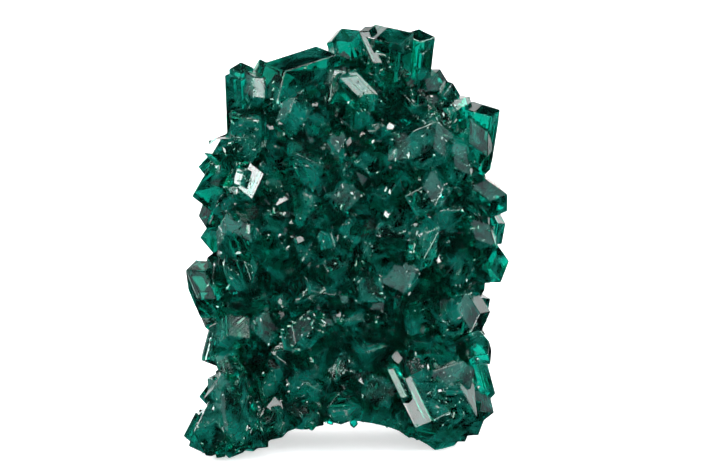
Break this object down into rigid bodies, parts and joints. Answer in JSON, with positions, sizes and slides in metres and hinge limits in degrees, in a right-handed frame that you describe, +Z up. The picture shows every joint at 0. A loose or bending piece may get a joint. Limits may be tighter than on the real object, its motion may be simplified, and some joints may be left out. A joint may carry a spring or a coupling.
{
  "type": "dioptase crystal cluster",
  "caption": "Upright cluster of intergrown emerald-green dioptase prisms, standing on two flat broken feet with a low arch between them, for display.",
  "frame": {"origin": "centre of the bounding box, at the level of the two flat feet that the cluster stands on", "axes": "+Z up, the longest side; +X to the right seen from the front; the front faces -Y, and the depth along Y is the shortest side"},
  "size_m": [0.0286, 0.0166, 0.0373],
  "materials": {
    "dioptase": "clear to cloudy deep green crystal with bright, vitreous, partly striated faces"
  },
  "bodies": {
    "root": {"crystal_cluster": "dioptase"}
  },
  "joints": []
}
